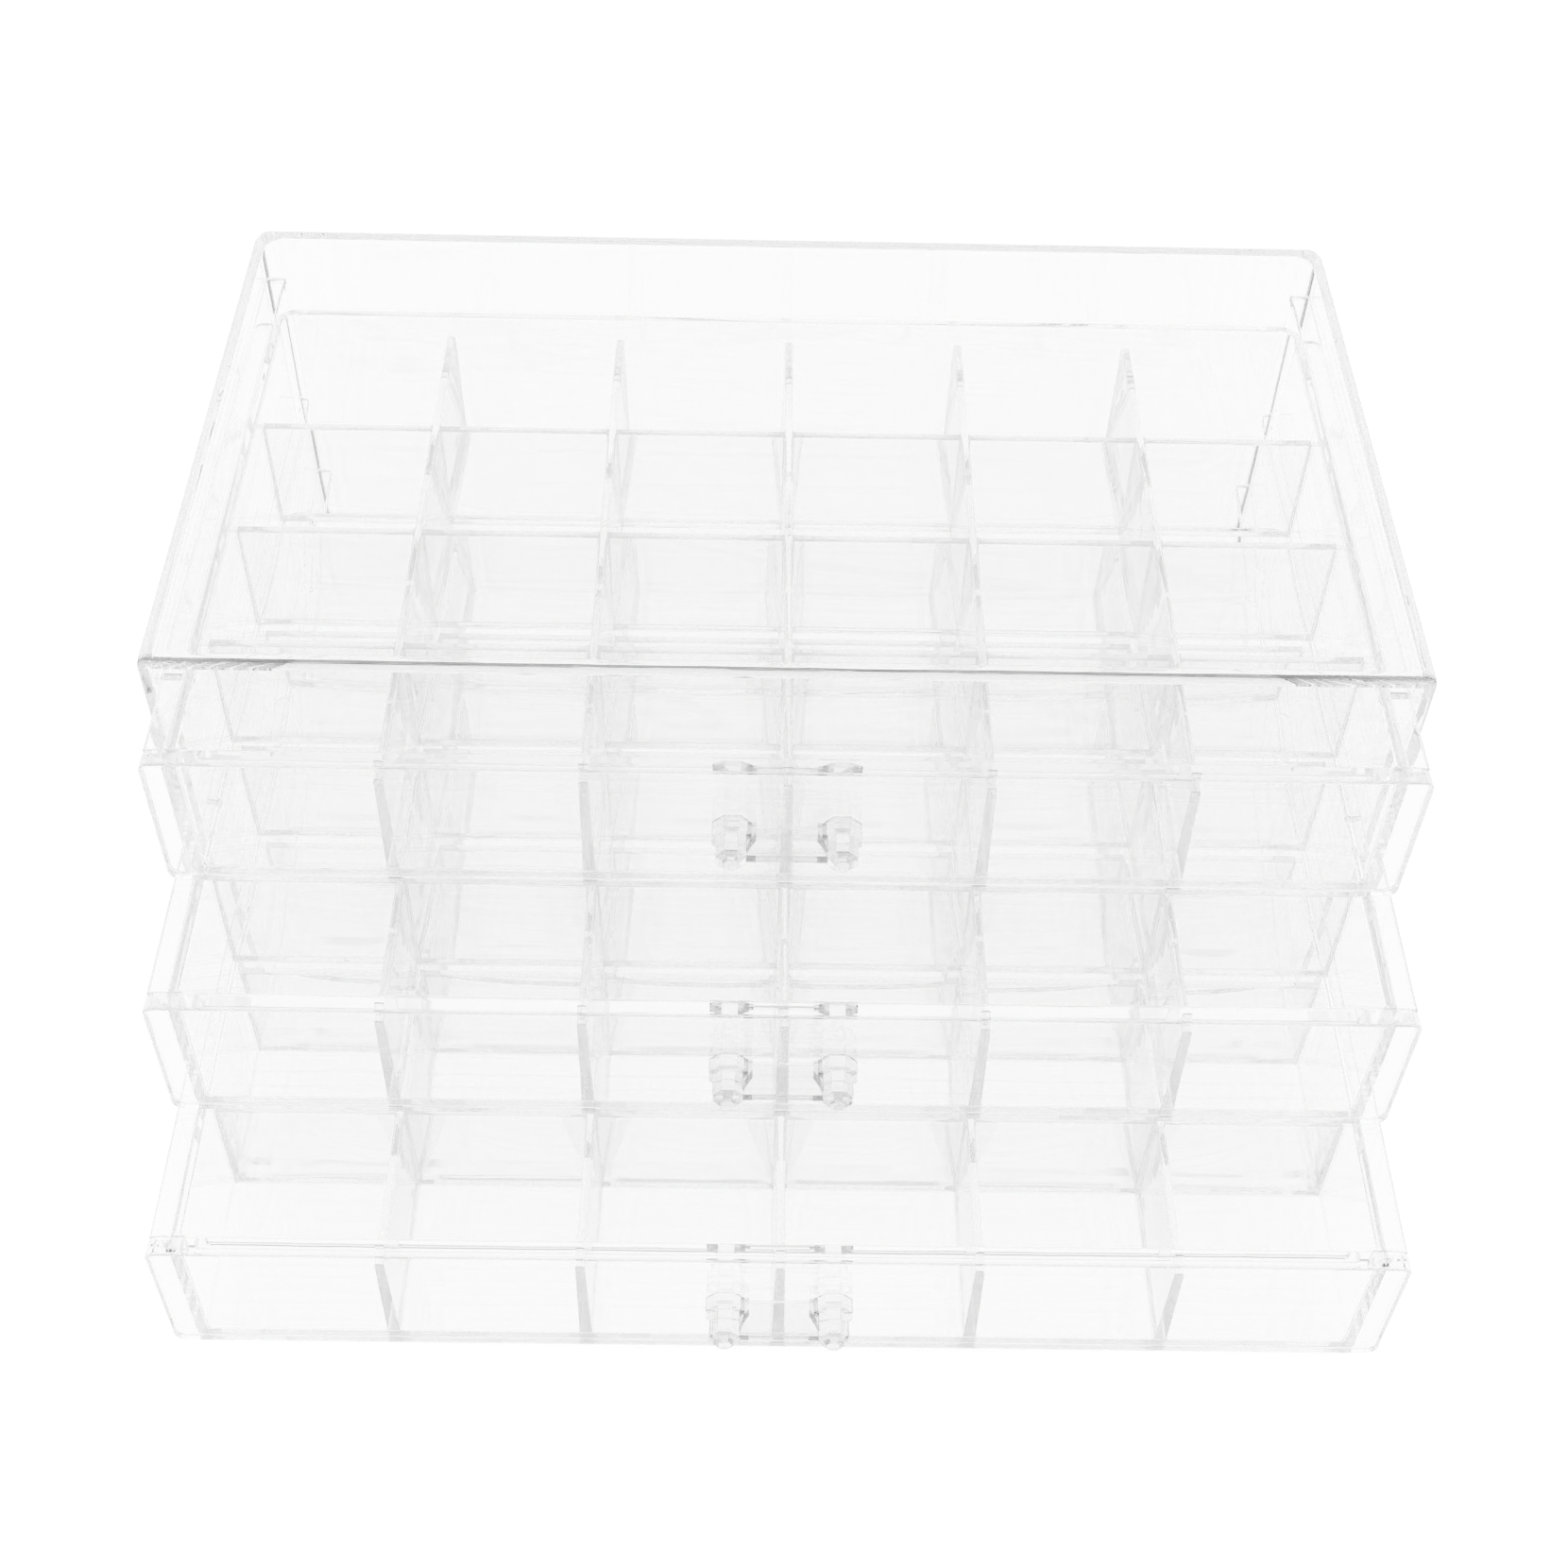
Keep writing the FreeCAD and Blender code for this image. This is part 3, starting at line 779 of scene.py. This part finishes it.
    def add_flare(self, shells: Shells, side: float, post: float, face: float,
                  level: float) -> None:
        """Adds the hollow flare between the web and the inner side of one post.

        Its plan follows a parabola from its foot, near the collar, to the post's side: the way
        left across shrinks with the square of the way left along.

        Args:
            shells: the pull under construction.
            side: -1 for the left post, 1 for the right.
            post: distance of the posts' axes from the middle.
            face: Y of the panel's front.
            level: height of the posts' axes.
        """
        share = np.linspace(0.0, 1.0, ARC_STEPS + 1)
        foot = post - self.flare_foot
        flat = post - self.post_across / 2
        bend_x = foot + (flat - foot) * (1 - (1 - share) ** 2)
        bend_y = face - self.flare_start - (self.flare_end - self.flare_start) * share
        inside = flat + Root.FLARE
        x = np.concatenate([[inside, foot], bend_x, [inside]]) * side
        y = np.concatenate([[face + Root.FLARE, face + Root.FLARE], bend_y, [bend_y[-1]]])
        plan = np.stack([x, y], -1)
        half = self.flare_height / 2
        shells.loft(np.stack([plan, plan]), np.array([level - half, level + half]), Axis.Z)

    def plate(self, foot: float, extra: Array, floor: float, top: float,
              middle: float, root: Root) -> Array:
        """Outlines of a divider: a tapered plate on a hollow fillet, with a rounded top.

        Half of one runs from the middle plane along the buried foot, round the fillet, up the
        sloping side and over the top.

        Args:
            foot: thickness where it meets the floor, without the fillet.
            extra: (sections,) extra half thickness at each section.
            floor: height of the tray's floor.
            top: height of the divider's top.
            middle: position of its middle plane.
            root: how far it reaches into the floor.

        Returns:
            (sections, points, 2) outlines.
        """
        wide = foot / 2 + extra
        thin = self.divider_top / 2 + extra
        zero = np.zeros(len(wide))
        flat = np.full(len(wide), floor)
        crest = np.full(len(wide), top)
        half = np.stack([
            np.stack([zero, flat - root], -1),
            np.stack([wide + self.divider_fillet, flat - root], -1),
            np.stack([wide + self.divider_fillet, flat], -1),
            np.stack([wide, flat], -1),
            np.stack([thin, crest], -1),
            np.stack([zero, crest], -1)], axis=1)
        fillets = np.full(len(wide), self.divider_fillet)
        tops = np.full(len(wide), self.divider_top_radius)
        radii = np.stack([zero, zero, zero, fillets, tops, zero], axis=1)
        return mirrored(rounded(half, radii)) + np.array([middle, 0.0])

    def run(self, start: float, end: float, root: Root) -> tuple[Array, Array]:
        """Stations from one wall to the next, with a hollow fillet at each end.

        The plate thickens by the sum of both fillets' flares.

        Args:
            start: the first wall's face.
            end: the second wall's face.
            root: how far the plate reaches into both.

        Returns:
            Places along the run and the extra half thickness at each.
        """
        radius = self.divider_fillet
        depth = quarter(radius)[0]
        places = np.concatenate([[start - root], start + depth, end - depth[::-1], [end + root]])
        return places, flare(places - start, radius) + flare(end - places, radius)

    def long_divider(self, node: str) -> bpy.types.Object:
        """Front-to-back divider, rooted in the floor, the panel and the back wall.

        Args:
            node: the divider's node.

        Returns:
            The divider.
        """
        low, high = box_of(node)
        places = np.array([low.y - Root.LONG, low.y, high.y, high.y + Root.LONG])
        outlines = self.plate(high.x - low.x, np.zeros(len(places)), low.z, high.z,
                              (low.x + high.x) / 2, Root.LONG)
        return Shells.empty().loft(outlines, places, Axis.Y).piece(
            f"{node}_moulding", self.divider_finish, true_flats=False)

    def cross_divider(self, node: str, longs: list[str]) -> bpy.types.Object:
        """Side-to-side divider: one plate in each column, rooted in its neighbours.

        Args:
            node: the divider's node.
            longs: nodes of the front-to-back dividers, from one side to the other.

        Returns:
            The divider.
        """
        low, high = box_of(node)
        shells = Shells.empty()
        sides = [low.x]
        for other in longs:
            other_low, other_high = box_of(other)
            middle = (other_low.x + other_high.x) / 2
            sides += [middle - self.divider_top / 2, middle + self.divider_top / 2]
        sides.append(high.x)
        for start, end in zip(sides[::2], sides[1::2]):
            places, extra = self.run(start, end, Root.CROSS)
            outlines = self.plate(high.y - low.y, extra, low.z, high.z, (low.y + high.y) / 2,
                                  Root.CROSS)
            shells.loft(outlines, places, Axis.X)
        return shells.piece(f"{node}_moulding", self.divider_finish, true_flats=False)

    def build(self) -> None:
        """Builds the drawer's pieces and ties each to its node."""
        nodes = frame["record"]["behaviour"]["bodies"][self.body]
        longs = [node for node in nodes if "_divider_" in node]
        crosses = [node for node in nodes if "_cross_" in node]
        settle(self.tray(), self.body, self.node("tray"))
        settle(self.front(), self.body, self.node("front"))
        settle(self.handle(), self.body, self.node("handle"))
        for node in longs:
            settle(self.long_divider(node), self.body, node)
        for node in crosses:
            settle(self.cross_divider(node, longs), self.body, node)


def settle(piece: bpy.types.Object, body: str, node: str) -> None:
    """Makes a piece ride on its body and stand for its node, which gets the same finish.

    Args:
        piece: the finished object.
        body: the body it moves with.
        node: the node it stands for.
    """
    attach(piece, body)
    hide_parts(node)
    frame["nodes"][node].data.materials.clear()
    frame["nodes"][node].data.materials.append(piece.data.materials[0])
    LOG.info("%s: %d faces, stands for %s", piece.name, len(piece.data.polygons), node)


# ------------------------------------------------------------------ studio
@dataclass
class Studio:
    """Pale floor, soft light and the camera.

    A share of the floor's look is a plain white glow, and the rest is its lit surface, which
    keeps the shadow. One share and glow are for the camera, and the other two for rays that come
    off the plastic or through it.
    """

    eye: tuple[float, float, float] = (-5.5 * MM, -348.0 * MM, 389.4 * MM)
    pitch: float = math.radians(48.05)
    roll: float = math.radians(1.62)
    yaw: float = math.radians(-1.04)
    lens: float = 50.685
    clip: tuple[float, float] = (0.01, 50.0)
    floor_size: float = 6.0
    floor_drop: float = 0.5 * MM
    floor_grey: float = 0.9
    glow_share: float = 0.75
    seen_glow: float = 1.15
    through_share: float = 0.92
    through_glow: float = 1.0
    dome_turn: float = 0.6  # share of the way from straight down to straight up
    dome_side: float = 0.98
    dome_top: float = 0.985
    card_direction: tuple[float, float, float] = (0.0, -0.927, 0.375)
    card_rim: tuple[float, float] = (0.93, 0.95)
    card_grey: float = 0.35

    def camera(self) -> None:
        """Camera that looks down at the open drawers.

        Its forward, up and right directions are turned about X by the pitch, about Z by the
        yaw, and about the line of sight by the roll.
        """
        data = bpy.data.cameras.new("Camera")
        data.lens = self.lens
        data.clip_start, data.clip_end = self.clip
        turn = Matrix.Rotation(self.yaw, 3, "Z")
        ahead = turn @ Vector((0.0, math.cos(self.pitch), -math.sin(self.pitch)))
        up = turn @ Vector((0.0, math.sin(self.pitch), math.cos(self.pitch)))
        right = turn @ Vector((1.0, 0.0, 0.0))
        cos, sin = math.cos(self.roll), math.sin(self.roll)
        right, up = cos * right + sin * up, cos * up - sin * right
        camera = bpy.data.objects.new("Camera", data)
        camera.matrix_world = Matrix.Translation(self.eye) @ Matrix(
            (right, up, -ahead)).transposed().to_4x4()
        bpy.context.scene.collection.objects.link(camera)
        bpy.context.scene.camera = camera

    def floor(self) -> None:
        """Pale floor that keeps the object's shadow and looks white to the camera."""
        half = self.floor_size / 2
        mesh = bpy.data.meshes.new("Floor")
        corners = [(-half, -half, 0), (half, -half, 0), (half, half, 0), (-half, half, 0)]
        mesh.from_pydata(corners, [], [(0, 1, 2, 3)])
        made = bpy.data.materials.new("pale_floor")
        made.use_nodes = True
        shader = Shader(made.node_tree)
        paint = shader.node("ShaderNodeBsdfDiffuse", {}, {"Color": grey(self.floor_grey)})
        lit = shader.node("ShaderNodeEmission", {},
                          {"Color": grey(1.0), "Strength": self.seen_glow})
        dim = shader.node("ShaderNodeEmission", {}, {"Color": grey(self.through_glow)})
        seen = shader.node("ShaderNodeLightPath", output="Is Camera Ray")
        gloss = shader.node("ShaderNodeLightPath", output="Is Glossy Ray")
        through = shader.node("ShaderNodeLightPath", output="Is Transmission Ray")
        direct = shader.mix_shaders(self.glow_share, paint, lit)
        indirect = shader.mix_shaders((gloss + through).above(0.5) * self.through_share,
                                      paint, dim)
        surface = shader.mix_shaders(seen, indirect, direct)
        shader.node("ShaderNodeOutputMaterial", {}, {"Surface": surface})
        mesh.materials.append(made)
        floor = bpy.data.objects.new("Floor", mesh)
        floor.location.z = -self.floor_drop
        bpy.context.scene.collection.objects.link(floor)

    def world(self) -> None:
        """Soft dome with a grey card low in front, all white to the camera.

        The dome's ramp runs from straight down at 0 to straight up at 1. The card covers the
        directions within a cone round its own, with a soft rim between two cosines.
        """
        world = bpy.data.worlds.new("World")
        bpy.context.scene.world = world
        world.use_nodes = True
        shader = Shader(world.node_tree)
        place = shader.node("ShaderNodeTexCoord", output="Generated")
        height = shader.node("ShaderNodeSeparateXYZ", {}, {"Vector": place}, output="Z")
        dome = shader.node("ShaderNodeValToRGB", {"stops": (
            (self.dome_turn, grey(self.dome_side)), (1.0, grey(self.dome_top)))},
            {0: height * 0.5 + 0.5})
        towards = shader.node("ShaderNodeVectorMath", {"operation": "DOT_PRODUCT"},
                              {0: place, 1: self.card_direction}, output="Value")
        card = shader.node("ShaderNodeMapRange", {}, {
            "Value": towards, "From Min": self.card_rim[0], "From Max": self.card_rim[1]})
        room = shader.mix_colours(card, dome, grey(self.card_grey))
        seen = shader.node("ShaderNodeLightPath", output="Is Camera Ray")
        sky = shader.mix_colours(seen, room, grey(1.0))
        light = shader.node("ShaderNodeBackground", {}, {"Color": sky, "Strength": 1.0})
        shader.node("ShaderNodeOutputWorld", {}, {"Surface": light})

    def build(self) -> None:
        """Builds the studio and sets how light is traced and shown."""
        scene = bpy.context.scene
        scene.view_settings.view_transform = "Standard"
        scene.cycles.max_bounces = BOUNCES
        scene.cycles.transmission_bounces = BOUNCES
        scene.cycles.glossy_bounces = BOUNCES
        scene.cycles.transparent_max_bounces = BOUNCES
        self.camera()
        self.floor()
        self.world()


def main() -> None:
    """Builds the case, the drawers and the studio."""
    logging.basicConfig(level=logging.INFO, format="%(name)s: %(message)s")
    Case(ClearPlastic("clear_case").material()).build()
    styrene = Plastic.STYRENE
    drawer_finish = ClearPlastic("clear_drawer", clarity=0.998, plastic=styrene).material()
    # the pull's lower clarity is painted shade: it darkens the light trapped in the posts, standing
    # in for the dark ring round their tips
    pull_finish_painted_shade = ClearPlastic("clear_pull_painted_shade", clarity=0.974, plastic=styrene).material()
    divider_finish = ClearPlastic("clear_divider", clarity=0.991, plastic=styrene).material()
    for name in ("bottom", "middle", "top"):
        Drawer(name, drawer_finish, pull_finish_painted_shade, divider_finish).build()
    Studio().build()


if __name__ == "__main__":
    main()
